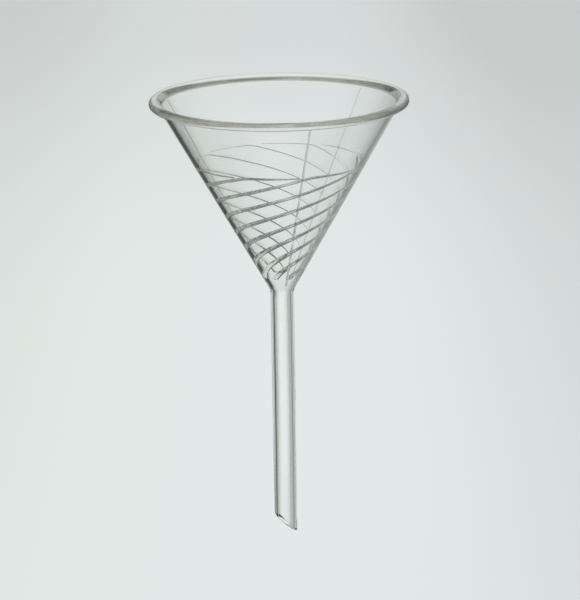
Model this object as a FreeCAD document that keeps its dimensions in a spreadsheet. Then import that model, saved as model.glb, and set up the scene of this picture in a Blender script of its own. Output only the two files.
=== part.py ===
import FreeCAD, Part
import Sketcher
import math
import os
import re

# A 100 mm glass filter funnel: a 59 degree cone with eight spiral ribs pressed into its inside,
# a rounded bead round the mouth, and a drawn stem with a slanted tip.
# Millimetres. The origin is on the axis at the throat, where the outside of the cone would meet
# the outside of the stem, and +Z points up to the mouth. The stem's long side is towards +X.

doc = FreeCAD.newDocument("SpiralRibbedFunnel")
Z_AXIS = FreeCAD.Vector(0, 0, 1)


# ---------------------------------------------------------------- driving dimensions

DRIVING = [
    # alias, value, what it is (mm and degrees)
    ("rim_diameter", 100.0, "mouth, measured over the bead"),
    ("bead_overhang", 2.95, "how far the bead stands out from the wall"),
    ("bead_thickness", 2.9, "height of the bead"),
    ("bead_lip_radius", 3.0, "rounding from the inner wall over to the top of the bead"),
    ("bead_neck", 0.6, "plain wall that belongs to the bead, below its underside"),
    ("cone_angle", 59.0, "included angle of the cone"),
    ("wall", 1.8, "thickness of the cone's wall"),
    ("stem_diameter", 9.2, "outside of the stem at the seal"),
    ("stem_tip_diameter", 8.8, "outside of the stem at the tip"),
    ("stem_bore", 5.3, "bore of the stem"),
    ("stem_length", 100.0, "throat to the tip's longest point"),
    ("stem_straight", 45.0, "length of the stem, from the throat, before it tapers"),
    ("tip_angle", 40.0, "slant of the tip's cut"),
    ("seal_above", 3.0, "height of the seal above the throat"),
    ("seal_below", 2.5, "depth of the seal below the throat"),
    ("seal_outer_radius", 6.0, "outside sweep from the cone into the stem"),
    ("rib_count", 8, "ribs round the cone"),
    ("rib_lead", 52.5, "climb of a rib in one full turn"),
    ("foot_width", 2.2, "width of a rib on the wall, at its foot"),
    ("foot_crown", 0.75, "height of a rib off the wall, at its foot"),
    ("top_width", 1.5, "width of a rib on the wall, at its top"),
    ("top_crown", 0.42, "height of a rib off the wall, at its top"),
    ("rib_top", 52.1, "height of the ring that the ribs run into"),
    ("rib_foot", 6.0, "height of the ribs' lower ends"),
    ("rib_turn_in", 5.0, "angle, each side of a rib's top, over which it levels out"),
    ("tail_width", 0.7, "width of a rib's level tail at its end"),
    ("tail_crown", 0.22, "height of the tail off the wall at its end"),
    ("tail_gap", 0.15, "gap left between a tail's end and the next rib"),
    ("rib_azimuth", 20.5, "direction of the first rib's top"),
    ("seam_count", 3, "joint lines left by the parts of the mould"),
    ("seam_width", 1.2, "width of a joint line"),
    ("seam_height", 0.4, "height of a joint line"),
    ("seam_azimuth", 44.5, "direction of the first joint line"),
]

DERIVED = [
    ("slope", "tan(cone_angle / 2 * 1 deg)", "outward run of the cone for each mm of height"),
    ("stem_radius", "stem_diameter / 2", "outside radius at the throat"),
    ("bore_radius", "stem_bore / 2", "inside radius of the stem"),
    ("wall_run", "wall / cos(cone_angle / 2 * 1 deg)", "the wall's thickness, measured level"),
    ("throat_inner", "stem_radius - wall_run", "where the inner cone would meet z = 0"),
    ("bead_middle", "(rim_diameter / 2 - bead_overhang - stem_radius) / slope", "height of the bead"),
    ("bead_top", "bead_middle + bead_thickness / 2", "highest level of the funnel"),
    ("bead_under", "bead_middle - bead_thickness / 2", "underside of the bead"),
    ("bowl_top", "bead_under - bead_neck", "where the plain wall passes to the bead"),
    ("lip_reach", "bead_lip_radius * tan((90 - cone_angle / 2) / 2 * 1 deg)", "run of the lip's rounding"),
    ("nose_radius", "bead_thickness / 2", "full rounding of the bead's outer edge"),
    ("nose_middle", "rim_diameter / 2 - nose_radius", "radius at which that rounding is centred"),
    ("bore_top", "(bore_radius - throat_inner) / slope", "where the inner cone meets the bore"),
]

sheet = doc.addObject("Spreadsheet::Sheet", "Sizes")
for row, (alias, value, note) in enumerate(DRIVING, start=1):
    sheet.set(f"A{row}", note)
    sheet.set(f"B{row}", str(value))
    sheet.setAlias(f"B{row}", alias)
for row, (alias, formula, note) in enumerate(DERIVED, start=len(DRIVING) + 2):
    sheet.set(f"A{row}", note)
    sheet.set(f"B{row}", "=" + formula)
    sheet.setAlias(f"B{row}", alias)
doc.recompute()


def size(alias):
    """The present value of a cell, as a plain number."""
    return float(getattr(sheet, alias))


def on_sheet(formula):
    """The same formula, written so that an object other than the sheet can read it."""
    aliases = {alias for alias, _, _ in DRIVING + DERIVED}
    return re.sub("[a-z_]+", lambda m: "Sizes." + m[0] if m[0] in aliases else m[0], formula)


# ---------------------------------------------------------------- how the pieces are drawn

def outer_wall(height):
    """Radius of the cone's outside at a height, as a formula."""
    return f"stem_radius + ({height}) * slope"


def inner_wall(height):
    """Radius of the cone's inside at a height, as a formula."""
    return f"throat_inner + ({height}) * slope"


def make_body(label):
    body = doc.addObject("PartDesign::Body", label)
    body.Label = label
    return body


def point_at(corner):
    """The present place of a corner given as two formulas."""
    across, up = corner
    return FreeCAD.Vector(float(sheet.evalExpression(across)), float(sheet.evalExpression(up)), 0)


def arc_between(start, end, centre):
    """The arc that runs anticlockwise from start to end about a centre."""
    first = math.atan2(start.y - centre.y, start.x - centre.x)
    last = math.atan2(end.y - centre.y, end.x - centre.x)
    if last <= first:
        last += 2 * math.pi
    circle = Part.Circle(centre, FreeCAD.Vector(0, 0, 1), (start - centre).Length)
    return Part.ArcOfCircle(circle, first, last)


def add_profile(body, name, corners, arcs=None):
    """A closed outline on the body's own XZ plane, drawn anticlockwise.

    Each corner is a pair of formulas, across (X) and up (Z), and is held to them by dimensions.
    A side is a straight line, or in arcs, by its number, an arc about the centre given there, which
    leaves the side before it tangentially."""
    arcs = arcs or {}
    sketch = body.newObject("Sketcher::SketchObject", name)
    plane = next(f for f in body.Origin.OriginFeatures if f.Role == "XZ_Plane")
    sketch.AttachmentSupport = (plane, [""])
    sketch.MapMode = "FlatFace"
    places = [point_at(corner) for corner in corners]
    count = len(corners)
    for i in range(count):
        start, end = places[i], places[(i + 1) % count]
        if i in arcs:
            sketch.addGeometry(arc_between(start, end, point_at(arcs[i])), False)
        else:
            sketch.addGeometry(Part.LineSegment(start, end), False)
    for i in range(count):
        following = (i + 1) % count
        joint = "Tangent" if following in arcs else "Coincident"
        sketch.addConstraint(Sketcher.Constraint(joint, i, 2, following, 1))
    for i, formulas in enumerate(corners):
        for kind, formula, value in zip(("DistanceX", "DistanceY"), formulas, places[i]):
            index = sketch.addConstraint(Sketcher.Constraint(kind, -1, 1, i, 1, value))
            sketch.setExpression(f"Constraints[{index}]", on_sheet(formula))
    return sketch


def add_revolution(body, name, corners, arcs=None):
    """Turn a closed outline once round the funnel's axis."""
    sketch = add_profile(body, name + "_profile", corners, arcs)
    turn = body.newObject("PartDesign::Revolution", name)
    turn.Profile = sketch
    turn.ReferenceAxis = (sketch, ["V_Axis"])
    turn.Angle = 360
    doc.recompute()
    return turn


def ring_edge(feature, radius, height):
    """The name of a feature's round edge that has this radius at this height (both formulas)."""
    radius = float(sheet.evalExpression(radius))
    height = float(sheet.evalExpression(height))
    for number, edge in enumerate(feature.Shape.Edges, start=1):
        if edge.Curve.TypeId != "Part::GeomCircle":
            continue
        if math.hypot(edge.Curve.Radius - radius, edge.Curve.Center.z - height) < 0.001:
            return f"Edge{number}"
    raise RuntimeError(f"{feature.Name} has no round edge at radius {radius}, height {height}")


# ---------------------------------------------------------------- bowl, bead, seal and stem

def make_bowl():
    """The plain wall of the cone, from the seal up to the bead."""
    body = make_body("bowl")
    corners = [
        (inner_wall("seal_above"), "seal_above"),
        (outer_wall("seal_above"), "seal_above"),
        (outer_wall("bowl_top"), "bowl_top"),
        (inner_wall("bowl_top"), "bowl_top"),
    ]
    add_revolution(body, "cone_wall", corners)
    return body


def make_rim_bead():
    """The bead round the mouth: the wall turned outwards into a rounded rim."""
    body = make_body("rim_bead")
    lip_foot_across = inner_wall("bead_top") + " - lip_reach * sin(cone_angle / 2 * 1 deg)"
    lip_top_across = inner_wall("bead_top") + " + lip_reach"
    corners = [
        (inner_wall("bowl_top"), "bowl_top"),
        (outer_wall("bowl_top"), "bowl_top"),
        (outer_wall("bead_under"), "bead_under"),
        ("nose_middle", "bead_under"),
        ("nose_middle", "bead_top"),
        (lip_top_across, "bead_top"),
        (lip_foot_across, "bead_top - lip_reach * cos(cone_angle / 2 * 1 deg)"),
    ]
    nose, lip = 3, 5
    centres = {nose: ("nose_middle", "bead_middle"), lip: (lip_top_across, "bead_top - bead_lip_radius")}
    add_revolution(body, "bead_ring", corners, centres)
    return body


def make_throat_seal():
    """The flame seal: the foot of the cone drawn smoothly into the top of the stem."""
    body = make_body("throat_seal")
    corners = [
        ("bore_radius", "-seal_below"),
        ("stem_radius", "-seal_below"),
        ("stem_radius", "0"),
        (outer_wall("seal_above"), "seal_above"),
        (inner_wall("seal_above"), "seal_above"),
        ("bore_radius", "bore_top"),
    ]
    joint = add_revolution(body, "seal_ring", corners)
    sweep = body.newObject("PartDesign::Fillet", "seal_sweep")
    sweep.Base = (joint, [ring_edge(joint, "stem_radius", "0")])
    sweep.setExpression("Radius", on_sheet("seal_outer_radius"))
    return body


def make_stem():
    """The drawn tube, straight and then slightly tapered, cut at a slant."""
    body = make_body("stem")
    corners = [
        ("bore_radius", "-seal_below"),
        ("stem_radius", "-seal_below"),
        ("stem_radius", "-stem_straight"),
        ("stem_tip_diameter / 2", "-stem_length"),
        ("bore_radius", "-stem_length"),
    ]
    tube = add_revolution(body, "stem_tube", corners)

    reach = "stem_diameter"
    long_side = f"-stem_length - ({reach} - stem_tip_diameter / 2) * tan(tip_angle * 1 deg)"
    short_side = f"-stem_length + ({reach} + stem_tip_diameter / 2) * tan(tip_angle * 1 deg)"
    slant = add_profile(
        body, "tip_slant", [(reach, long_side), (f"-{reach}", short_side), (f"-{reach}", long_side)]
    )
    cut = body.newObject("PartDesign::Pocket", "tip_cut")
    cut.Profile = slant
    cut.SideType = "Symmetric"
    cut.setExpression("Length", on_sheet(f"2 * {reach}"))
    doc.recompute()
    if cut.Shape.Volume >= tube.Shape.Volume:
        raise RuntimeError("the slant of the tip removes no glass")
    return body


# ---------------------------------------------------------------- mould seams

def make_mould_seam(number):
    """A fine raised line that lies up the outside of the wall, one for each joint of the mould."""
    body = make_body(f"mould_seam_{number}")
    rise = "seam_height / cos(cone_angle / 2 * 1 deg)"
    corners = [
        (outer_wall("seal_above"), "seal_above"),
        (outer_wall("seal_above") + " + " + rise, "seal_above"),
        (outer_wall("bowl_top") + " + " + rise, "bowl_top"),
        (outer_wall("bowl_top"), "bowl_top"),
    ]
    line = body.newObject("PartDesign::Pad", f"seam_line_{number}")
    line.Profile = add_profile(body, f"seam_profile_{number}", corners)
    line.SideType = "Symmetric"
    line.setExpression("Length", on_sheet("seam_width"))
    body.Placement = FreeCAD.Placement(FreeCAD.Vector(), FreeCAD.Rotation(Z_AXIS, 0))
    turn = on_sheet(f"(seam_azimuth + {number - 1} * 360 / seam_count) * 1 deg")
    body.setExpression("Placement.Rotation.Angle", turn)
    return body


# ---------------------------------------------------------------- spiral ribs

RIDGE = [(-1, 0), (-0.8, 0.85), (-0.64, 1), (-0.4, 0.92), (1, 0)]  # a rib's section, one unit high
ROUNDING = (20, 50)  # degrees round a foot's end at which its sections are drawn
CLIMB_STATIONS = 24  # steps from a rib's foot to its top
TAIL_STATIONS = 4  # steps from a rib's top to the end of its tail


class RibPath:
    """The line that the middle of a rib follows on the inside of the cone.

    Positions along it are angles round the axis, counted from the rib's top. The rib climbs
    anticlockwise at a steady lead, levels out over a short turn and runs on as a tail."""

    def __init__(self):
        self.half_angle = math.radians(size("cone_angle") / 2)
        self.climb = size("rib_lead") / 360
        self.turn_in = size("rib_turn_in")
        self.foot = -(size("rib_top") - size("rib_foot")) / self.climb
        meeting = (size("tail_width") + size("top_width")) / 2 + size("tail_gap")
        next_rib = 360 / size("rib_count")
        self.tail_end = next_rib - meeting * math.cos(self.half_angle) / self.climb

    def height(self, angle):
        if angle <= -self.turn_in:
            return size("rib_top") + self.climb * angle
        if angle >= self.turn_in:
            return size("rib_top")
        return size("rib_top") - self.climb * (self.turn_in - angle) ** 2 / (4 * self.turn_in)

    def wall_radius(self, height):
        return size("throat_inner") + height * size("slope")

    def steps(self, angle):
        """How far one degree carries the path round the wall, and up along it."""
        around = math.radians(self.wall_radius(self.height(angle)))
        up = (self.height(angle + 0.5) - self.height(angle - 0.5)) / math.cos(self.half_angle)
        return around, up

    def point(self, angle, across=0.0, lift=0.0):
        """A point in the plane square to the path: this far across it, and this far off the wall."""
        around, up = self.steps(angle)
        heading = math.atan2(up, around)
        azimuth = math.radians(angle)
        height = self.height(angle)
        outwards = FreeCAD.Vector(math.cos(azimuth), math.sin(azimuth), 0)
        sideways = FreeCAD.Vector(-math.sin(azimuth), math.cos(azimuth), 0)
        along_wall = outwards * math.sin(self.half_angle) + Z_AXIS * math.cos(self.half_angle)
        off_wall = Z_AXIS * math.sin(self.half_angle) - outwards * math.cos(self.half_angle)
        curving = math.cos(self.half_angle) * math.sin(heading) ** 2 / self.wall_radius(height)
        return (
            outwards * self.wall_radius(height)
            + Z_AXIS * height
            + (along_wall * math.cos(heading) - sideways * math.sin(heading)) * across
            + off_wall * (lift + curving * across ** 2 / 2)
        )


def rib_section(path, angle, width, crown):
    """A ridge across the path, steep below its blunt crest and gentle above it, set on the wall."""
    ridge = [path.point(angle, width / 2 * across, crown * lift) for across, lift in RIDGE]
    return Part.makePolygon(ridge + ridge[:1])


def rib_shape():
    """One rib, with its top towards +X: a loft along its path, with a rounded foot."""
    path = RibPath()
    foot_width, foot_crown = size("foot_width"), size("foot_crown")
    top_width, top_crown = size("top_width"), size("top_crown")
    length_per_degree = math.hypot(*path.steps(path.foot))
    sections = []
    for bend in ROUNDING:
        part = math.sin(math.radians(bend))
        inset = foot_width / 2 * (1 - math.cos(math.radians(bend)))
        angle = path.foot + inset / length_per_degree
        sections.append(rib_section(path, angle, foot_width * part, foot_crown * part))
    first = path.foot + foot_width / 2 / length_per_degree
    for i in range(CLIMB_STATIONS + 1):
        part = i / CLIMB_STATIONS
        width = foot_width + (top_width - foot_width) * part
        crown = foot_crown + (top_crown - foot_crown) * part
        sections.append(rib_section(path, first * (1 - part), width, crown))
    for i in range(1, TAIL_STATIONS + 1):
        part = i / TAIL_STATIONS
        width = top_width + (size("tail_width") - top_width) * part
        crown = top_crown + (size("tail_crown") - top_crown) * part
        sections.append(rib_section(path, path.tail_end * part, width, crown))
    return Part.makeLoft(sections, True)


def make_spiral_rib(number, shape):
    rib = doc.addObject("Part::Feature", f"spiral_rib_{number}")
    rib.Label = f"spiral_rib_{number}"
    rib.Shape = shape.copy()
    azimuth = size("rib_azimuth") + (number - 1) * 360 / size("rib_count")
    rib.Placement = FreeCAD.Placement(FreeCAD.Vector(), FreeCAD.Rotation(Z_AXIS, azimuth))
    return rib


# ---------------------------------------------------------------- the whole funnel

pieces = [make_bowl(), make_rim_bead(), make_throat_seal(), make_stem()]
pieces += [make_mould_seam(number) for number in range(1, int(size("seam_count")) + 1)]
one_rib = rib_shape()
pieces += [make_spiral_rib(number, one_rib) for number in range(1, int(size("rib_count")) + 1)]
doc.recompute()

for item in doc.Objects:
    if "Invalid" in item.State or "Error" in item.State:
        raise RuntimeError(f"{item.Name} did not build: {item.State}")
for piece in pieces:
    if piece.Shape.isNull() or not piece.Shape.isValid() or len(piece.Shape.Solids) != 1:
        raise RuntimeError(f"{piece.Label} is not one sound solid")

os.makedirs("parts", exist_ok=True)
for piece in pieces:
    piece.Shape.exportStep(f"parts/{piece.Label}.step")
    print(piece.Label, round(piece.Shape.Volume, 1), "mm3")
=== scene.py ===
"""A spiral-ribbed filter funnel of clear glass, in metres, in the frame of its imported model."""
import math

import bmesh
import bpy
from mathutils import Matrix, Vector


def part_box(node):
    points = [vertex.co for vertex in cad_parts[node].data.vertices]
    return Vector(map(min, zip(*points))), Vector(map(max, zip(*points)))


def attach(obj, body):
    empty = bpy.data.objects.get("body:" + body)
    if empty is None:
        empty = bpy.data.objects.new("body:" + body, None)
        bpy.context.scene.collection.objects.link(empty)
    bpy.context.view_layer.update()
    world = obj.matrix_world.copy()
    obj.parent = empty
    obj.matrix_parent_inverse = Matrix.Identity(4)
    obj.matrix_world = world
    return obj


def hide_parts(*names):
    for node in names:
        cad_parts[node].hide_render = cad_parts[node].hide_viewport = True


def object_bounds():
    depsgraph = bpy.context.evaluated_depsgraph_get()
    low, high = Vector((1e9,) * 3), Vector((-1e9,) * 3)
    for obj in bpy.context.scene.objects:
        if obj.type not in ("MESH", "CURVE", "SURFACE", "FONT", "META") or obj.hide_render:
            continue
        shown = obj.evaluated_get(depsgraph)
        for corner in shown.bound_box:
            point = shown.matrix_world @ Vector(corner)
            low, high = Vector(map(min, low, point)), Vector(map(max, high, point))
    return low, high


bl_info = {
    "name": "Spiral-ribbed filter funnel",
    "version": (1, 0, 0),
    "blender": (4, 5, 0),
    "location": "View3D > Sidebar > Funnel",
    "description": "Dresses a long-stem glass filter funnel and sets up a plain studio round it",
    "category": "Add Mesh",
}

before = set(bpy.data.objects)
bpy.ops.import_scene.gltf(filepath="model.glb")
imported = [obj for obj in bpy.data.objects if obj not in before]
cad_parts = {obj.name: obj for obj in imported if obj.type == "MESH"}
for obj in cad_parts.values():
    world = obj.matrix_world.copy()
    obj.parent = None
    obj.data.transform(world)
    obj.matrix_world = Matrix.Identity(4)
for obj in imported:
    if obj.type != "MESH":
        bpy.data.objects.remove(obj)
CAD_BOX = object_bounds()
BEAD_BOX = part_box("rim_bead")
SEAL_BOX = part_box("throat_seal")
STEM_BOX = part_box("stem")

SEGMENTS = 360  # steps round the axis, the same for every turned piece, so that their joints meet
ARC_STEPS = 16  # steps in each rounding of a turned piece's section
POLISH_STEPS = 4  # steps over the fire-polished edges of the tip
SHARP = math.radians(35)  # edges that turn more than this are shaded sharp
LEVEL = 0.999  # a face is level where its normal is at least this much up or down
SAME_HEIGHT = 1e-6  # heights closer than this, in metres, are one height

# A rib or a mould line is a ridge, with half its width and its height as the units of its section.
RIB_CREST = -0.65  # where a rib's crest lies, towards its steep lower edge
LINE_CREST = 0.0  # a mould line's crest lies in its middle
RIDGE_BLUNT = 0.1  # how much of each flank is rounded off at the crest
RIDGE_STEPS = 6  # steps over that rounding
SUNK = 0.12  # how far the flat base lies inside the wall
FOOT_TURNS = (12, 25, 40, 58, 75)  # steps over a rib's rounded foot, in degrees round it
FOOT_PROBE = 0.01  # the turn, in radians, over which a rib's run is measured at its foot
LINE_PROBE = 0.002  # the turn, in radians, each way, over which its direction is measured
RIB_STEPS = 120  # steps along a rib, from its foot to its top
TAIL_STEPS = 16  # steps along its tail
LINE_STEPS = 24  # steps along a mould line


# ---------------------------------------------------------------- sizes, glass and studio

def length(name, description, default):
    """A length, in metres."""
    return bpy.props.FloatProperty(
        name=name, description=description, default=default, min=0.0, precision=5,
        subtype="DISTANCE", unit="LENGTH",
    )


def turn(name, description, degrees):
    """An angle, whose default is given in degrees."""
    return bpy.props.FloatProperty(
        name=name, description=description, default=math.radians(degrees),
        subtype="ANGLE", unit="ROTATION",
    )


def shade(name, description, default):
    """A colour."""
    return bpy.props.FloatVectorProperty(
        name=name, description=description, default=default,
        size=3, min=0.0, max=1.0, subtype="COLOR",
    )


def share(name, description, default):
    """A share of the whole, from 0 to 1."""
    return bpy.props.FloatProperty(
        name=name, description=description, default=default, min=0.0, max=1.0, subtype="FACTOR"
    )


def amount(name, description, default):
    """A plain number from 0 upwards."""
    return bpy.props.FloatProperty(
        name=name, description=description, default=default, min=0.0, precision=3
    )


def count(name, description, default):
    """A whole number from 1 upwards."""
    return bpy.props.IntProperty(name=name, description=description, default=default, min=1)


class FunnelSizes(bpy.types.PropertyGroup):
    """Lengths and angles of the funnel."""

    mouth_radius: length("Mouth radius", "Axis to the outside of the bead", BEAD_BOX[1].x)
    bead_top: length("Bead top", "Height of the bead's upper side", BEAD_BOX[1].z)
    bowl_top: length("Bowl top", "Height at which the wall passes into the bead", BEAD_BOX[0].z)
    bead_thickness: length("Bead thickness", "Height of the bead", 0.0029)
    bead_lip: length("Lip rounding", "Radius from the inner wall over to the bead's top", 0.003)
    bead_root: length("Bead root", "Radius in the corner under the bead", 0.0004)
    cone_angle: turn("Cone angle", "Angle across the whole cone", 59)
    wall: length("Wall", "Thickness of the cone's wall", 0.0018)
    seal_top: length("Seal top", "Height at which the seal passes into the bowl", SEAL_BOX[1].z)
    seal_depth: length("Seal depth", "How far below the throat the stem begins", -SEAL_BOX[0].z)
    seal_sweep: length("Seal sweep", "Outside radius between the cone and the stem", 0.006)
    stem_radius: length("Stem radius", "Outside of the stem at its top", 0.0046)
    tip_radius: length("Tip radius", "Outside of the stem at its tip", 0.0044)
    bore_radius: length("Bore radius", "Inside of the stem", 0.00265)
    stem_straight: length("Straight stem", "Length of the stem before it tapers", 0.045)
    stem_length: length("Stem length", "Throat to the longest point of the tip", -STEM_BOX[0].z)
    tip_angle: turn("Tip angle", "Slant of the cut at the tip", 40)
    tip_polish: length("Tip polish", "How far the flame has rounded the tip's edges", 0.0004)
    rib_count: count("Ribs", "Ribs round the cone", 8)
    rib_lead: length("Rib lead", "Climb of a rib in one full turn", 0.0525)
    rib_foot: length("Rib foot", "Height of the ribs' lower ends", 0.006)
    rib_top: length("Rib top", "Height of the ring that the ribs run into", 0.0521)
    rib_turn_in: turn("Rib turn-in", "Angle over which a rib levels out, each side of its top", 5)
    rib_azimuth: turn("Rib azimuth", "Direction of the first rib's top", 20.5)
    foot_width: length("Foot width", "Width of a rib at its foot", 0.0022)
    foot_crown: length("Foot crown", "Height of a rib off the wall at its foot", 0.00075)
    top_width: length("Top width", "Width of a rib at its top", 0.0015)
    top_crown: length("Top crown", "Height of a rib off the wall at its top", 0.00042)
    tail_width: length("Tail width", "Width of a rib's tail at its end", 0.0007)
    tail_crown: length("Tail crown", "Height of a rib's tail at its end", 0.00022)
    tail_gap: length("Tail gap", "Gap between a tail's end and the next rib", 0.00015)
    line_count: count("Mould lines", "Joints of the mould", 3)
    line_width: length("Line width", "Width of a mould line", 0.0009)
    line_height: length("Line height", "How far a mould line stands off the wall", 0.0003)
    line_azimuth: turn("Line azimuth", "Direction of the first mould line", 44.5)

    def slope(self):
        """Outward run of the cone for each unit of height."""
        return math.tan(self.cone_angle / 2)

    def outer_wall(self, height):
        """Radius of the cone's outside at a height."""
        return self.stem_radius + height * self.slope()

    def inner_wall(self, height):
        """Radius of the cone's inside at a height."""
        return self.outer_wall(height) - self.wall / math.cos(self.cone_angle / 2)


class GlassLook(bpy.types.PropertyGroup):
    """Finish of the glass."""

    index: amount("Refractive index", "How strongly the glass bends light", 1.47)
    clear: shade("Clear tint", "Colour of the glass where it is clearest", (0.998, 1.0, 0.998))
    deep: shade("Deep tint", "Colour of the glass where it is greyest", (0.986, 0.996, 0.986))
    bead: shade("Bead tint", "Colour of the bead where its glass is deepest", (1.0, 0.97, 0.88))
    pressed_depth: length("Pressed waviness", "Depth of the waves left by the mould", 0.00006)
    drawn_depth: length("Drawn waviness", "Depth of the waves left by drawing the stem", 0.00003)
    smears: share("Smears", "Roughness of the faint marks left by handling", 0.04)


class StudioLook(bpy.types.PropertyGroup):
    """Floor, light, camera, and the painted room that the glass mirrors and bends."""

    floor_drop: length("Floor drop", "How far the floor lies below the tip of the stem", 0.15)
    paper: shade("Paper", "Colour of the floor and the backdrop", (0.757, 0.797, 0.797))
    paper_left: shade("Paper, left", "The greener floor to the left", (0.747, 0.797, 0.767))
    # painted shade: the floor's colour where it is painted darker far off and to both sides, and
    # the shaded floor painted into reflections
    painted_paper_shade: shade("Paper, shade", "The floor where it is darker", (0.565, 0.595, 0.59))
    # painted reflections: colours of a room that isn't there, which the floor and the sky show
    # only in what the glass mirrors and bends
    painted_room_dark: shade("Room, dark", "The darkest part of the room", (0.068, 0.078, 0.071))
    painted_room_dim: shade("Room, dim", "The room's less dark side", (0.42, 0.455, 0.422))
    painted_room_warm: shade("Room, warm", "Light that ran a long way in the glass", (0.70, 0.66, 0.50))
    painted_room_lit: shade("Room, lit", "The bright side of the room", (0.92, 0.97, 0.95))
    sky_level: share("Sky level", "Brightness of the light from all round", 0.6)
    key_strength: amount("Key strength", "The soft lamp, in watts per square metre", 1.5)
    key_size: turn("Key size", "How wide the soft lamp looks from the funnel", 75)
    camera_distance: length("Camera distance", "Camera to the point that it looks at", 1.1)
    camera_height: turn("Camera height", "Angle of the camera above level", 15.78)
    camera_roll: turn("Camera roll", "Turn of the camera about its line of sight", 0.93)
    camera_lens: bpy.props.FloatProperty(
        name="Lens", description="Focal length in millimetres", default=168.72,
        subtype="DISTANCE_CAMERA",
    )


# ---------------------------------------------------------------- shapes

class Outline:
    """A pen that draws the section of a piece in the XZ plane, X to the right and Z up."""

    def __init__(self, x, z):
        self.mesh = bmesh.new()
        self.start = self.tip = self.mesh.verts.new((x, 0, z))

    def line(self, x, z):
        """Draw a straight line to a point."""
        drawn = bmesh.ops.extrude_vert_indiv(self.mesh, verts=[self.tip])
        self.tip = drawn["verts"][0]
        self.tip.co = (x, 0, z)

    def arc(self, x, z, degrees, steps=ARC_STEPS):
        """Carry the pen round a centre, anticlockwise where degrees is above zero."""
        swung = bmesh.ops.spin(
            self.mesh, geom=[self.tip], cent=(x, 0, z), axis=(0, -1, 0),
            angle=math.radians(degrees), steps=steps,
        )
        last = swung["geom_last"]
        self.tip = next(part for part in last if isinstance(part, bmesh.types.BMVert))

    def close(self):
        """Join the pen's last point to its first, and hand over the section."""
        self.mesh.edges.new((self.tip, self.start))
        return self.mesh


def turned(mesh):
    """Turn a closed section once round the funnel's axis."""
    bmesh.ops.spin(
        mesh, geom=mesh.verts[:] + mesh.edges[:], cent=(0, 0, 0), axis=(0, 0, 1),
        angle=math.tau, steps=SEGMENTS, use_merge=True,
    )
    bmesh.ops.recalc_face_normals(mesh, faces=mesh.faces[:])
    return mesh


def ridge_section(crest):
    """A ridge one unit wide each side and one high, with its flat base just below zero."""
    pen = Outline(1, 0)
    pen.line(crest, 1)
    top = pen.tip
    pen.line(-1, 0)
    pen.line(-1, -SUNK)
    pen.line(1, -SUNK)
    mesh = pen.close()
    bmesh.ops.bevel(
        mesh, geom=[top], offset=RIDGE_BLUNT, offset_type="OFFSET", segments=RIDGE_STEPS,
        profile=0.5, affect="VERTICES", material=-1,
    )
    return mesh


def swept(mesh, places):
    """Carry a closed section through a row of places, and close both ends."""
    ring = mesh.edges[:]
    bmesh.ops.transform(mesh, matrix=places[0], verts=mesh.verts[:])
    bmesh.ops.edgeloop_fill(mesh, edges=ring)
    for before, place in zip(places, places[1:]):
        grown = bmesh.ops.extrude_edge_only(mesh, edges=ring)["geom"]
        ring = [part for part in grown if isinstance(part, bmesh.types.BMEdge)]
        corners = [part for part in grown if isinstance(part, bmesh.types.BMVert)]
        bmesh.ops.transform(mesh, matrix=place @ before.inverted(), verts=corners)
    bmesh.ops.edgeloop_fill(mesh, edges=ring)
    bmesh.ops.recalc_face_normals(mesh, faces=mesh.faces[:])
    return mesh


def add_piece(name, mesh, nodes, glass, joints=()):
    """Put a finished shape in the scene in place of its nodes.

    The level faces at the heights in joints are where the glass runs on into the next piece."""
    for face in mesh.faces:
        face.smooth = True
        height = face.calc_center_median().z
        at_joint = any(abs(height - joint) < SAME_HEIGHT for joint in joints)
        face.material_index = int(at_joint and abs(face.normal.z) > LEVEL)
    for edge in mesh.edges:
        edge.smooth = edge.calc_face_angle(0) < SHARP
    data = bpy.data.meshes.new(name)
    mesh.to_mesh(data)
    mesh.free()
    piece = bpy.data.objects.new(name, data)
    bpy.context.scene.collection.objects.link(piece)
    data.materials.append(glass)
    if joints:
        data.materials.append(fused_joint())
    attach(piece, "root")
    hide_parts(*nodes)


# ---------------------------------------------------------------- materials

def wire(tree, kind, given=None, **settings):
    """Add a node. Each of its given inputs is a plain value, or the output of another node."""
    node = tree.nodes.new(kind)
    for name, value in settings.items():
        setattr(node, name, value)
    for key, value in (given or {}).items():
        if isinstance(value, bpy.types.NodeSocket):
            tree.links.new(value, node.inputs[key])
        else:
            node.inputs[key].default_value = value
    return node


def between(tree, value, low, high, start=0.0, end=1.0):
    """A smooth step from start to end as a value goes from low to high."""
    given = {"Value": value, "From Min": low, "From Max": high, "To Min": start, "To Max": end}
    step = wire(tree, "ShaderNodeMapRange", given, interpolation_type="SMOOTHSTEP")
    return step.outputs["Result"]


def blended(tree, factor, first, second):
    """A mix of two colours, each three numbers or the output of another node."""
    node = wire(tree, "ShaderNodeMix", data_type="RGBA")
    sockets = {socket.identifier: socket for socket in node.inputs}
    for name, value in (("Factor_Float", factor), ("A_Color", first), ("B_Color", second)):
        if isinstance(value, bpy.types.NodeSocket):
            tree.links.new(value, sockets[name])
        else:
            sockets[name].default_value = (*value, 1)
    return next(socket for socket in node.outputs if socket.identifier == "Result_Color")


def new_group(name, inputs, output, kind):
    """A node group with one output and these inputs, given as (name, kind, default).

    It comes with its inputs' outputs, the place on the piece, and the socket of its result."""
    group = bpy.data.node_groups.new(name, "ShaderNodeTree")
    for label, socket_kind, default in inputs:
        socket = group.interface.new_socket(name=label, in_out="INPUT", socket_type=socket_kind)
        socket.default_value = default
    group.interface.new_socket(name=output, in_out="OUTPUT", socket_type=kind)
    given = group.nodes.new("NodeGroupInput").outputs
    place = group.nodes.new("ShaderNodeTexCoord").outputs["Object"]
    result = group.nodes.new("NodeGroupOutput").inputs[output]
    return group, given, place, result


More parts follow.
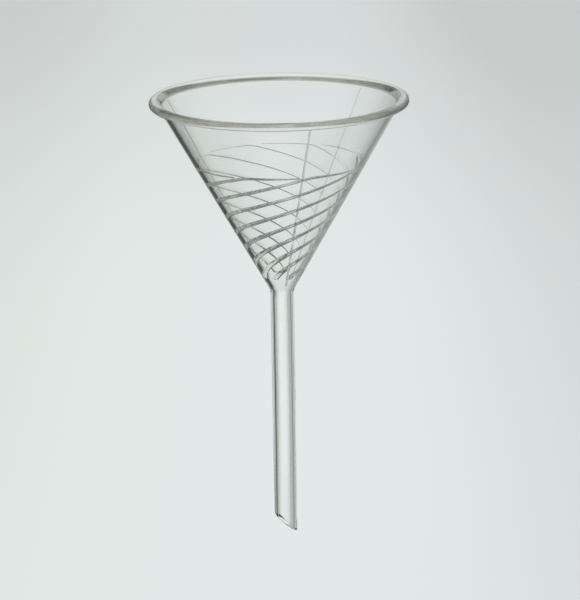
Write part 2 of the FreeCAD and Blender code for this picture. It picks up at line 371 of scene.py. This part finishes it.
def glass_waves():
    """Height of the slow waves in a glass surface, longer along one axis than across it."""
    found = bpy.data.node_groups.get("Glass waves")
    if found:
        return found
    group, given, place, result = new_group(
        "Glass waves",
        [("Stretch", "NodeSocketVector", (1, 1, 1)), ("Scale", "NodeSocketFloat", 60.0)],
        "Height", "NodeSocketFloat",
    )
    stretched = wire(group, "ShaderNodeMapping", {"Vector": place, "Scale": given["Stretch"]})
    broad = wire(group, "ShaderNodeTexNoise", {
        "Vector": stretched.outputs["Vector"], "Scale": given["Scale"],
        "Detail": 1.5, "Roughness": 0.35,
    })
    group.links.new(broad.outputs["Fac"], result)
    return group


def glass_marks():
    """Faint handling marks: a thin film in soft patches, as roughness."""
    found = bpy.data.node_groups.get("Glass marks")
    if found:
        return found
    group, given, place, result = new_group(
        "Glass marks", [("Smears", "NodeSocketFloat", 0.04)], "Roughness", "NodeSocketFloat"
    )
    film = wire(group, "ShaderNodeTexNoise", {"Vector": place, "Scale": 45.0, "Detail": 4.0})
    patches = between(group, film.outputs["Fac"], low=0.52, high=0.78, end=given["Smears"])
    group.links.new(patches, result)
    return group


def glass_tint():
    """Colour of the glass, drifting slowly between its clearest and its greyest."""
    found = bpy.data.node_groups.get("Glass tint")
    if found:
        return found
    tints = [
        ("Clear", "NodeSocketColor", (1, 1, 1, 1)),
        ("Deep", "NodeSocketColor", (0.9, 0.9, 0.9, 1)),
    ]
    group, given, place, result = new_group("Glass tint", tints, "Color", "NodeSocketColor")
    drift = wire(group, "ShaderNodeTexNoise", {"Vector": place, "Scale": 22.0, "Detail": 2.0})
    group.links.new(blended(group, drift.outputs["Fac"], given["Clear"], given["Deep"]), result)
    return group


def funnel_glass(name, wave_depth, wave_scale, wave_stretch, deep=None):
    """Clear glass with its own waviness, and its own deepest tint where one is given."""
    found = bpy.data.materials.get(name)
    if found:
        return found
    look = bpy.context.scene.funnel_glass
    material = bpy.data.materials.new(name)
    material.use_nodes = True
    tree = material.node_tree
    tint = wire(tree, "ShaderNodeGroup", node_tree=glass_tint())
    tint.inputs["Clear"].default_value = (*look.clear, 1)
    tint.inputs["Deep"].default_value = (*(look.deep if deep is None else deep), 1)
    marks = wire(tree, "ShaderNodeGroup", node_tree=glass_marks())
    marks.inputs["Smears"].default_value = look.smears
    waves = wire(tree, "ShaderNodeGroup", node_tree=glass_waves())
    waves.inputs["Scale"].default_value = wave_scale
    waves.inputs["Stretch"].default_value = wave_stretch
    height = waves.outputs["Height"]
    ripple = wire(tree, "ShaderNodeBump", {"Distance": wave_depth, "Height": height})
    glass = tree.nodes["Principled BSDF"]
    glass.inputs["Transmission Weight"].default_value = 1.0
    glass.inputs["Metallic"].default_value = 0.0
    glass.inputs["IOR"].default_value = look.index
    tree.links.new(tint.outputs["Color"], glass.inputs["Base Color"])
    tree.links.new(marks.outputs["Roughness"], glass.inputs["Roughness"])
    tree.links.new(ripple.outputs["Normal"], glass.inputs["Normal"])
    return material


def pressed_glass():
    """The cone's glass: smooth, with broad waves from the mould."""
    depth = bpy.context.scene.funnel_glass.pressed_depth
    return funnel_glass("pressed_glass", depth, wave_scale=55.0, wave_stretch=(1, 1, 1))


def bead_glass():
    """The bead's glass: fire-polished, and a little uneven round the mouth."""
    look = bpy.context.scene.funnel_glass
    return funnel_glass(
        "fire_polished_glass", look.pressed_depth,
        wave_scale=90.0, wave_stretch=(1, 1, 2.5), deep=look.bead,
    )


def rib_glass():
    """The ribs' glass: a shade less even than the wall that they stand on."""
    depth = bpy.context.scene.funnel_glass.pressed_depth
    return funnel_glass("ribbed_glass", depth, wave_scale=160.0, wave_stretch=(1, 1, 1))


def line_glass():
    """The glass of the mould lines: rough with the small steps between the mould's parts."""
    depth = bpy.context.scene.funnel_glass.pressed_depth
    return funnel_glass("mould_line_glass", depth, wave_scale=420.0, wave_stretch=(1, 1, 0.4))


def drawn_glass():
    """The stem's glass: long waves along the way that it was drawn."""
    depth = bpy.context.scene.funnel_glass.drawn_depth
    return funnel_glass("drawn_glass", depth, wave_scale=210.0, wave_stretch=(1, 1, 0.12))


def fused_joint():
    """The inside of a joint, where two pieces are one glass and nothing shows."""
    found = bpy.data.materials.get("fused_joint")
    if found:
        return found
    material = bpy.data.materials.new("fused_joint")
    material.use_nodes = True
    material.node_tree.nodes["Principled BSDF"].inputs["Alpha"].default_value = 0.0
    return material


# ---------------------------------------------------------------- the funnel's pieces

class FUNNEL_OT_bowl(bpy.types.Operator):
    """Make the plain wall of the cone, from the seal up to the bead"""

    bl_idname = "funnel.bowl"
    bl_label = "Bowl wall"

    def execute(self, context):
        sizes = context.scene.funnel_sizes
        low, high = sizes.seal_top, sizes.bowl_top
        pen = Outline(sizes.inner_wall(low), low)
        pen.line(sizes.outer_wall(low), low)
        pen.line(sizes.outer_wall(high), high)
        pen.line(sizes.inner_wall(high), high)
        mesh = turned(pen.close())
        add_piece("bowl_wall", mesh, ["bowl"], pressed_glass(), (low, high))
        return {"FINISHED"}


class FUNNEL_OT_bead(bpy.types.Operator):
    """Make the rounded bead round the mouth, with its lip and its root"""

    bl_idname = "funnel.bead"
    bl_label = "Mouth bead"

    def execute(self, context):
        sizes = context.scene.funnel_sizes
        half_angle = sizes.cone_angle / 2
        nose = sizes.bead_thickness / 2
        nose_middle = sizes.mouth_radius - nose
        under = sizes.bead_top - sizes.bead_thickness
        root_turn = math.pi / 2 + half_angle
        root_run = sizes.bead_root / math.tan(root_turn / 2)
        lip_run = sizes.bead_lip * math.tan((math.pi / 2 - half_angle) / 2)
        lip_middle = sizes.inner_wall(sizes.bead_top) + lip_run
        root_middle = sizes.outer_wall(under) + root_run

        pen = Outline(sizes.inner_wall(sizes.bowl_top), sizes.bowl_top)
        pen.line(sizes.outer_wall(sizes.bowl_top), sizes.bowl_top)
        root_low = under - root_run * math.cos(half_angle)
        pen.line(sizes.outer_wall(root_low), root_low)
        pen.arc(root_middle, under - sizes.bead_root, -math.degrees(math.pi - root_turn))
        pen.line(nose_middle, under)
        pen.arc(nose_middle, under + nose, 180, 2 * ARC_STEPS)
        pen.line(lip_middle, sizes.bead_top)
        pen.arc(lip_middle, sizes.bead_top - sizes.bead_lip, 90 - math.degrees(half_angle))
        mesh = turned(pen.close())
        add_piece("mouth_bead", mesh, ["rim_bead"], bead_glass(), (sizes.bowl_top,))
        return {"FINISHED"}


class FUNNEL_OT_seal(bpy.types.Operator):
    """Make the flame seal, where the foot of the cone is drawn into the stem"""

    bl_idname = "funnel.seal"
    bl_label = "Flame seal"

    def execute(self, context):
        sizes = context.scene.funnel_sizes
        half_angle = sizes.cone_angle / 2
        run = sizes.seal_sweep * math.tan(half_angle / 2)
        bore_top = (sizes.bore_radius - sizes.inner_wall(0)) / sizes.slope()
        pen = Outline(sizes.bore_radius, -sizes.seal_depth)
        pen.line(sizes.stem_radius, -sizes.seal_depth)
        pen.line(sizes.stem_radius, -run)
        pen.arc(sizes.stem_radius + sizes.seal_sweep, -run, -math.degrees(half_angle))
        pen.line(sizes.outer_wall(sizes.seal_top), sizes.seal_top)
        pen.line(sizes.inner_wall(sizes.seal_top), sizes.seal_top)
        pen.line(sizes.bore_radius, bore_top)
        mesh = turned(pen.close())
        joints = (sizes.seal_top, -sizes.seal_depth)
        add_piece("flame_seal", mesh, ["throat_seal"], pressed_glass(), joints)
        return {"FINISHED"}


class FUNNEL_OT_stem(bpy.types.Operator):
    """Make the drawn stem, with its slanted and fire-polished tip"""

    bl_idname = "funnel.stem"
    bl_label = "Drawn stem"

    def execute(self, context):
        sizes = context.scene.funnel_sizes
        taper = (sizes.stem_radius - sizes.tip_radius) / (sizes.stem_length - sizes.stem_straight)
        spare = sizes.stem_radius  # length past the tip, for the slanted cut to take off
        end, end_radius = -sizes.stem_length - spare, sizes.tip_radius - taper * spare
        pen = Outline(sizes.bore_radius, -sizes.seal_depth)
        pen.line(sizes.bore_radius, end)
        pen.line(end_radius, end)
        pen.line(sizes.stem_radius, -sizes.stem_straight)
        pen.line(sizes.stem_radius, -sizes.seal_depth)
        mesh = turned(pen.close())
        bmesh.ops.bisect_plane(
            mesh, geom=mesh.verts[:] + mesh.edges[:] + mesh.faces[:],
            plane_co=(sizes.tip_radius, 0, -sizes.stem_length),
            plane_no=(math.sin(sizes.tip_angle), 0, math.cos(sizes.tip_angle)), clear_inner=True,
        )
        cut = [edge for edge in mesh.edges if edge.is_boundary]
        if not cut:
            raise RuntimeError("the slant of the tip cuts no glass")
        bmesh.ops.bridge_loops(mesh, edges=cut)
        bmesh.ops.bevel(
            mesh, geom=cut, offset=sizes.tip_polish, offset_type="OFFSET", segments=POLISH_STEPS,
            profile=0.5, affect="EDGES", material=-1,
        )
        bmesh.ops.recalc_face_normals(mesh, faces=mesh.faces[:])
        joints = (-sizes.seal_depth,)
        add_piece("drawn_stem", mesh, ["stem"], drawn_glass(), joints)
        return {"FINISHED"}


class RibPath:
    """The line of a rib on the inside of the cone, by angles counted from the rib's top.

    Its foot lies at a negative angle. Its level tail ends just short of the next rib."""

    def __init__(self, sizes):
        self.sizes = sizes
        self.climb = sizes.rib_lead / math.tau
        self.foot = -(sizes.rib_top - sizes.rib_foot) / self.climb
        meeting = (sizes.tail_width + sizes.top_width) / 2 + sizes.tail_gap
        short = meeting * math.cos(sizes.cone_angle / 2) / self.climb
        self.tail = math.tau / sizes.rib_count - short

    def height(self, angle):
        """Height of the line: it climbs evenly, turns in near the top and runs on level."""
        top, turn_in = self.sizes.rib_top, self.sizes.rib_turn_in
        if angle <= -turn_in:
            return top + self.climb * angle
        if angle >= turn_in:
            return top
        return top - self.climb * (turn_in - angle) ** 2 / (4 * turn_in)

    def point(self, angle):
        """The line's point on the wall at an angle."""
        height = self.height(angle)
        radius = self.sizes.inner_wall(height)
        return Vector((radius * math.cos(angle), radius * math.sin(angle), height))

    def place(self, angle, width, crown):
        """Where a rib's section stands: X up across it, Y along its line and Z off the wall."""
        half_angle = self.sizes.cone_angle / 2
        along = (self.point(angle + LINE_PROBE) - self.point(angle - LINE_PROBE)).normalized()
        inwards = Vector((-math.cos(angle), -math.sin(angle), 0))
        off_wall = inwards * math.cos(half_angle) + Vector((0, 0, math.sin(half_angle)))
        across = along.cross(off_wall).normalized()
        turned_to = Matrix((across, along, off_wall)).transposed().to_4x4()
        scale = Matrix.Diagonal((width / 2, 1, crown, 1))
        return Matrix.Translation(self.point(angle)) @ turned_to @ scale


def mixed(first, last, part):
    """The value that lies this part of the way from first to last."""
    return first + (last - first) * part


def rib_places(sizes):
    """Every place of a rib's section, from its rounded foot to the end of its tail."""
    path = RibPath(sizes)
    run = (path.point(path.foot + FOOT_PROBE) - path.point(path.foot)).length / FOOT_PROBE
    places = []
    for degrees in FOOT_TURNS:
        part = math.sin(math.radians(degrees))
        inset = sizes.foot_width / 2 * (1 - math.cos(math.radians(degrees))) / run
        width, crown = sizes.foot_width * part, sizes.foot_crown * part
        places.append(path.place(path.foot + inset, width, crown))
    first = path.foot + sizes.foot_width / 2 / run
    for step in range(RIB_STEPS + 1):
        part = step / RIB_STEPS
        width = mixed(sizes.foot_width, sizes.top_width, part)
        crown = mixed(sizes.foot_crown, sizes.top_crown, part)
        places.append(path.place(first * (1 - part), width, crown))
    for step in range(1, TAIL_STEPS + 1):
        part = step / TAIL_STEPS
        width = mixed(sizes.top_width, sizes.tail_width, part)
        crown = mixed(sizes.top_crown, sizes.tail_crown, part)
        places.append(path.place(path.tail * part, width, crown))
    return places


def line_places(sizes):
    """Every place of a mould line's section, from the seal up to the bead."""
    half_angle = sizes.cone_angle / 2
    along = Vector((math.sin(half_angle), 0, math.cos(half_angle)))
    off_wall = Vector((math.cos(half_angle), 0, -math.sin(half_angle)))
    across = along.cross(off_wall)
    turned_to = Matrix((across, along, off_wall)).transposed().to_4x4()
    scale = Matrix.Diagonal((sizes.line_width / 2, 1, sizes.line_height, 1))
    inset = sizes.line_height * math.tan(half_angle)
    places = []
    for step in range(LINE_STEPS + 1):
        height = sizes.seal_top + (sizes.bowl_top - inset - sizes.seal_top) * step / LINE_STEPS
        middle = Vector((sizes.outer_wall(height), 0, height))
        places.append(Matrix.Translation(middle) @ turned_to @ scale)
    return places


def ridge_at(crest, places, azimuth):
    """A ridge carried through its places and then turned round the funnel's axis."""
    mesh = swept(ridge_section(crest), places)
    turned_to = Matrix.Rotation(azimuth, 3, "Z")
    bmesh.ops.rotate(mesh, matrix=turned_to, verts=mesh.verts[:])
    return mesh


class FUNNEL_OT_ribs(bpy.types.Operator):
    """Make the spiral ribs that hold the filter paper off the wall"""

    bl_idname = "funnel.ribs"
    bl_label = "Spiral ribs"

    def execute(self, context):
        sizes = context.scene.funnel_sizes
        places = rib_places(sizes)
        for number in range(1, sizes.rib_count + 1):
            azimuth = sizes.rib_azimuth + (number - 1) * math.tau / sizes.rib_count
            mesh = ridge_at(RIB_CREST, places, azimuth)
            node = f"spiral_rib_{number}"
            add_piece(f"pressed_rib_{number}", mesh, [node], rib_glass())
        return {"FINISHED"}


class FUNNEL_OT_mould_lines(bpy.types.Operator):
    """Make the fine raised lines that the joints of the mould leave up the outside"""

    bl_idname = "funnel.mould_lines"
    bl_label = "Mould lines"

    def execute(self, context):
        sizes = context.scene.funnel_sizes
        places = line_places(sizes)
        for number in range(1, sizes.line_count + 1):
            azimuth = sizes.line_azimuth + (number - 1) * math.tau / sizes.line_count
            mesh = ridge_at(LINE_CREST, places, azimuth)
            node = f"mould_seam_{number}"
            add_piece(f"mould_line_{number}", mesh, [node], line_glass())
        return {"FINISHED"}


# ---------------------------------------------------------------- studio

# Parts of the painted room, which only the glass shows in what it mirrors and bends, by the way to
# them from the funnel.
# The way is a unit vector: X to the right, Y to the back and Z up. Each pair is where a smooth
# step begins and where it ends.
BEHIND_DIM = (-0.1, 0.3)  # Y: the painted room is dark in front and dim behind
LEFT_DARK = ((-0.1, -0.3), (-0.9, -0.6))  # X: the near and the far side of its painted dark left
RIGHT_DARK = ((0.25, 0.35), (0.75, 0.6))  # X: the same on its right
RIGHT_DARK_BACK = (0.55, 0.75)  # Y: which is dark only at the back
RIGHT_DARK_SHARE = 0.5  # and only this dark
GUIDED_COUNT = (10.0, 14.0)  # times that light is mirrored on a long way round inside the glass
GUIDED_BACK = (0.4, 0.7)  # Y: such light is painted warm where it comes from the back
STRIP_SIDES = (0.3, 0.1)  # X, either side: a painted strip of pale paper
STRIP_ENDS = (0.7, 0.9)  # Y, either way: straight behind and straight in front
FRONT_PALE = (-0.3, -0.7)  # Y: in front it is painted pale all over
FRONT_COUNT = (1.9, 1.1)  # but only for light that is mirrored just once
PAINTED_CARD_SIDES = ((0.33, 0.45), (0.62, 0.5))  # X, either side: the near and far sides of a painted dark card
PAINTED_CARD_BACK = (0.0, 0.3)  # Y: which stands behind
NEAR_FLOOR = (0.2, -0.2)  # Y: the mirrored floor is painted shaded behind and bright in front
OVERHEAD = (0.2, 0.6)  # Z: painted light from above, seen only in what the glass mirrors
OVERHEAD_FRONT = (0.6, -0.4)  # Y: and from the front
PAINTED_LOW_ROOM = (0.1, 0.2)  # Z: through the glass the painted room is dim up to here, and dark above
PAINTED_HIGH_ROOM = (0.42, 0.6)  # Z: and painted bright again from here

# The same for the floor, in metres from the funnel.
FLOOR_RIGHT = (0.04, 0.26, 0.0, 0.62)  # X: painted shade to the right, with the shares of the shade
FLOOR_LEFT = (-0.1, -0.3, 0.0, 0.4)  # X: painted shade to the left
FLOOR_FAR = (0.8, 2.1, 0.0, 0.5)  # Y: painted shade far off
FLOOR_GREEN = (0.0, -0.2)  # X: greener to the left
FLOOR_EDGE = (2.2, 3.4)  # distance at which bent light leaves the paper for the painted dim room

FLOOR_RADIUS = 12.0
FLOOR_SEGMENTS = 96
KEY_FROM = Vector((-0.45, -0.35, 1.0))  # the way to the soft lamp
AIM = Vector((0.003, 0, -0.0044))  # the point that the camera looks at
SENSOR_WIDTH = 36  # in millimetres
VIEW_DEPTH = 50  # in metres
BOUNCES = 128  # light runs a long way round inside the bead and the wall
GLASS_BOUNCES = 96
CLEAR_BOUNCES = 32  # through the joints between the pieces


def reckoned(tree, operation, *values, **settings):
    """One step of arithmetic on plain numbers and the outputs of other nodes."""
    given = dict(enumerate(values))
    return wire(tree, "ShaderNodeMath", given, operation=operation, **settings).outputs["Value"]


def absolute(tree, value):
    """A value without its sign."""
    return reckoned(tree, "ABSOLUTE", value)


def product(tree, first, second):
    """Two masks together: 1 where both are."""
    return reckoned(tree, "MULTIPLY", first, second)


def larger(tree, first, second):
    """Two masks side by side: 1 where either is."""
    return reckoned(tree, "MAXIMUM", first, second)


def light_path(tree):
    """What light has been through on its way to the camera."""
    return tree.nodes.new("ShaderNodeLightPath").outputs


def mirrored_rays(tree):
    """1 for light that the glass has mirrored on its way to the camera, and 0 for the rest."""
    return reckoned(tree, "GREATER_THAN", light_path(tree)["Glossy Depth"], 0.5)


def way_to(tree, place):
    """The way from the funnel to a place, as X, Y and Z of a unit vector."""
    way = wire(tree, "ShaderNodeVectorMath", {0: place}, operation="NORMALIZE").outputs["Vector"]
    return wire(tree, "ShaderNodeSeparateXYZ", {0: way}).outputs


def within(tree, value, sides):
    """1 between the two sides of a part of the painted room."""
    near, far = sides
    return product(tree, between(tree, value, *near), between(tree, value, *far))


def painted_pale_parts(tree, way):
    """1 where the floor paints pale paper into what the glass mirrors: a strip straight behind and
    straight in front.

    Light that is mirrored just once meets this painted pale paper all over the front as well.
    Light that is mirrored more often doesn't, which keeps the ribs' lines dark."""
    ahead = between(tree, absolute(tree, way["Y"]), *STRIP_ENDS)
    strip = product(tree, between(tree, absolute(tree, way["X"]), *STRIP_SIDES), ahead)
    once = between(tree, light_path(tree)["Glossy Depth"], *FRONT_COUNT)
    front = product(tree, between(tree, way["Y"], *FRONT_PALE), once)
    return larger(tree, strip, front)


def painted_dark_cards(tree, way):
    """1 where the floor paints one of two dark cards into what the glass bends, behind the funnel
    and to its sides.
    """
    card = within(tree, absolute(tree, way["X"]), PAINTED_CARD_SIDES)
    return product(tree, card, between(tree, way["Y"], *PAINTED_CARD_BACK))


def painted_room_tone(tree, way):
    """Painted reflection colour: the room that the glass mirrors is painted dim behind, and dark
    in front and to the left.

    It is painted half dark on the right at the back. Light that ran a long way in the glass is
    painted warm."""
    look = bpy.context.scene.funnel_studio
    tone = blended(tree, between(tree, way["Y"], *BEHIND_DIM), look.painted_room_dark, look.painted_room_dim)
    long_way = between(tree, light_path(tree)["Glossy Depth"], *GUIDED_COUNT)
    guided = product(tree, long_way, between(tree, way["Y"], *GUIDED_BACK))
    tone = blended(tree, guided, tone, look.painted_room_warm)
    left = within(tree, way["X"], LEFT_DARK)
    back = between(tree, way["Y"], *RIGHT_DARK_BACK, end=RIGHT_DARK_SHARE)
    right = product(tree, within(tree, way["X"], RIGHT_DARK), back)
    return blended(tree, larger(tree, left, right), tone, look.painted_room_dark)


def paper_with_painted_shade(tree, place):
    """The paper's colour: greener to the left, with painted shade far off and to both sides."""
    look = bpy.context.scene.funnel_studio
    along = wire(tree, "ShaderNodeSeparateXYZ", {0: place}).outputs
    right = between(tree, along["X"], *FLOOR_RIGHT)
    left = between(tree, along["X"], *FLOOR_LEFT)
    far = between(tree, along["Y"], *FLOOR_FAR)
    # share of painted shade: darker to the right, to the left and far off
    painted_shade_share = reckoned(tree, "ADD", reckoned(tree, "ADD", right, left), far, use_clamp=True)
    plain = blended(tree, between(tree, along["X"], *FLOOR_GREEN), look.paper, look.paper_left)
    return blended(tree, painted_shade_share, plain, look.painted_paper_shade)


def floor_paper():
    """Pale, dull paper, which also paints a room into what the glass mirrors and bends.

    Light that the glass has mirrored meets the painted room, or one of its painted pale parts,
    instead of the paper. Light that it has bent meets the painted dim room where a painted dark
    card stands or the paper ends.
    These painted reflections give clear glass its dark lines."""
    look = bpy.context.scene.funnel_studio
    material = bpy.data.materials.new("floor_paper")
    material.use_nodes = True
    tree = material.node_tree
    place = tree.nodes.new("ShaderNodeTexCoord").outputs["Object"]
    paper = tree.nodes["Principled BSDF"]
    paper.inputs["Roughness"].default_value = 1.0
    paper.inputs["Specular IOR Level"].default_value = 0.0
    tree.links.new(paper_with_painted_shade(tree, place), paper.inputs["Base Color"])

    way = way_to(tree, place)
    away = wire(tree, "ShaderNodeVectorMath", {0: place}, operation="LENGTH").outputs["Value"]
    outside = larger(tree, between(tree, away, *FLOOR_EDGE), painted_dark_cards(tree, way))
    bent = product(tree, light_path(tree)["Is Transmission Ray"], outside)
    # painted reflection of the floor: shaded behind and bright in front
    pale = blended(tree, between(tree, way["Y"], *NEAR_FLOOR), look.painted_paper_shade, look.painted_room_lit)
    reflected = blended(tree, painted_pale_parts(tree, way), painted_room_tone(tree, way), pale)
    mirrored = mirrored_rays(tree)
    seen = blended(tree, mirrored, look.painted_room_dim, reflected)
    # the floor glows with the painted room for light that the glass mirrors or bends
    room = wire(tree, "ShaderNodeEmission", {"Color": seen})
    either = wire(tree, "ShaderNodeMixShader", {
        0: larger(tree, bent, mirrored), 1: paper.outputs["BSDF"], 2: room.outputs["Emission"],
    })
    surface = tree.nodes["Material Output"].inputs["Surface"]
    tree.links.new(either.outputs["Shader"], surface)
    return material


def studio_world():
    """Even light from all round, with the paper's colour behind everything.

    Through the glass it shows a painted room, dim low down, dark above that and bright overhead.
    In what the glass mirrors it shows the painted room, with painted light from above and the
    front."""
    look = bpy.context.scene.funnel_studio
    world = bpy.data.worlds.new("studio")
    world.use_nodes = True
    tree = world.node_tree
    way = way_to(tree, tree.nodes.new("ShaderNodeTexCoord").outputs["Generated"])
    path = light_path(tree)
    sky = blended(tree, path["Is Camera Ray"], (look.sky_level,) * 3, look.paper)
    # painted room, seen only through the glass and in what it mirrors
    low = blended(tree, between(tree, way["Z"], *PAINTED_LOW_ROOM), look.painted_room_dim, look.painted_room_dark)
    through = blended(tree, between(tree, way["Z"], *PAINTED_HIGH_ROOM), low, look.painted_room_lit)
    front = between(tree, way["Y"], *OVERHEAD_FRONT)
    over = product(tree, between(tree, way["Z"], *OVERHEAD), front)
    mirrored = blended(tree, over, painted_room_tone(tree, way), look.painted_room_lit)
    seen = blended(tree, path["Is Transmission Ray"], sky, through)
    light = blended(tree, mirrored_rays(tree), seen, mirrored)
    tree.links.new(light, tree.nodes["Background"].inputs["Color"])
    return world


class FUNNEL_OT_studio(bpy.types.Operator):
    """Set the pale floor, the soft light and the camera"""

    bl_idname = "funnel.studio"
    bl_label = "Studio"

    def execute(self, context):
        scene, look = context.scene, context.scene.funnel_studio
        mesh = bmesh.new()
        bmesh.ops.create_circle(
            mesh, cap_ends=True, segments=FLOOR_SEGMENTS, radius=FLOOR_RADIUS
        )
        level = CAD_BOX[0].z - look.floor_drop
        bmesh.ops.translate(mesh, vec=(0, 0, level), verts=mesh.verts[:])
        data = bpy.data.meshes.new("floor")
        mesh.to_mesh(data)
        mesh.free()
        floor = bpy.data.objects.new("floor", data)
        data.materials.append(floor_paper())
        scene.collection.objects.link(floor)

        scene.world = studio_world()
        key = bpy.data.lights.new("key", "SUN")
        key.energy = look.key_strength
        key.angle = look.key_size
        lamp = bpy.data.objects.new("key", key)
        lamp.visible_glossy = False
        lamp.visible_transmission = False
        lamp.rotation_euler = KEY_FROM.to_track_quat("Z", "Y").to_euler()
        scene.collection.objects.link(lamp)

        lens = bpy.data.cameras.new("camera")
        lens.sensor_width = SENSOR_WIDTH
        lens.lens = look.camera_lens
        lens.clip_end = VIEW_DEPTH
        camera = bpy.data.objects.new("camera", lens)
        back = Vector((0, -math.cos(look.camera_height), math.sin(look.camera_height)))
        camera.location = AIM + back * look.camera_distance
        facing = back.to_track_quat("Z", "Y")
        roll = Matrix.Rotation(-look.camera_roll, 4, "Z").to_quaternion()
        camera.rotation_euler = (facing @ roll).to_euler()
        scene.collection.objects.link(camera)
        scene.camera = camera

        scene.view_settings.view_transform = "Standard"
        scene.cycles.max_bounces = BOUNCES
        scene.cycles.transmission_bounces = GLASS_BOUNCES
        scene.cycles.glossy_bounces = GLASS_BOUNCES
        scene.cycles.transparent_max_bounces = CLEAR_BOUNCES
        return {"FINISHED"}


class FUNNEL_PT_panel(bpy.types.Panel):
    """Buttons for the funnel's pieces and its studio"""

    bl_idname = "FUNNEL_PT_panel"
    bl_label = "Filter funnel"
    bl_space_type = "VIEW_3D"
    bl_region_type = "UI"
    bl_category = "Funnel"

    def draw(self, context):
        """List a button for each piece, and then every size and colour."""
        for operator in OPERATORS:
            self.layout.operator(operator.bl_idname)
        for group in (getattr(context.scene, name) for name in GROUPS):
            box = self.layout.box()
            for name in group.bl_rna.properties.keys():
                if name not in ("rna_type", "name"):
                    box.prop(group, name)


OPERATORS = (
    FUNNEL_OT_bowl,
    FUNNEL_OT_bead,
    FUNNEL_OT_seal,
    FUNNEL_OT_stem,
    FUNNEL_OT_ribs,
    FUNNEL_OT_mould_lines,
    FUNNEL_OT_studio,
)
GROUPS = {"funnel_sizes": FunnelSizes, "funnel_glass": GlassLook, "funnel_studio": StudioLook}


def register():
    """Make the sizes, the operators and the panel known to Blender."""
    for item in (*GROUPS.values(), *OPERATORS, FUNNEL_PT_panel):
        bpy.utils.register_class(item)
    for name, group in GROUPS.items():
        setattr(bpy.types.Scene, name, bpy.props.PointerProperty(type=group))


def unregister():
    """Take back what register has made known."""
    for name in GROUPS:
        delattr(bpy.types.Scene, name)
    for item in (FUNNEL_PT_panel, *reversed(OPERATORS), *GROUPS.values()):
        bpy.utils.unregister_class(item)


def main():
    """Make the funnel and its studio."""
    register()
    bpy.ops.funnel.bowl()
    bpy.ops.funnel.bead()
    bpy.ops.funnel.seal()
    bpy.ops.funnel.stem()
    bpy.ops.funnel.ribs()
    bpy.ops.funnel.mould_lines()
    bpy.ops.funnel.studio()


if __name__ == "__main__":
    main()
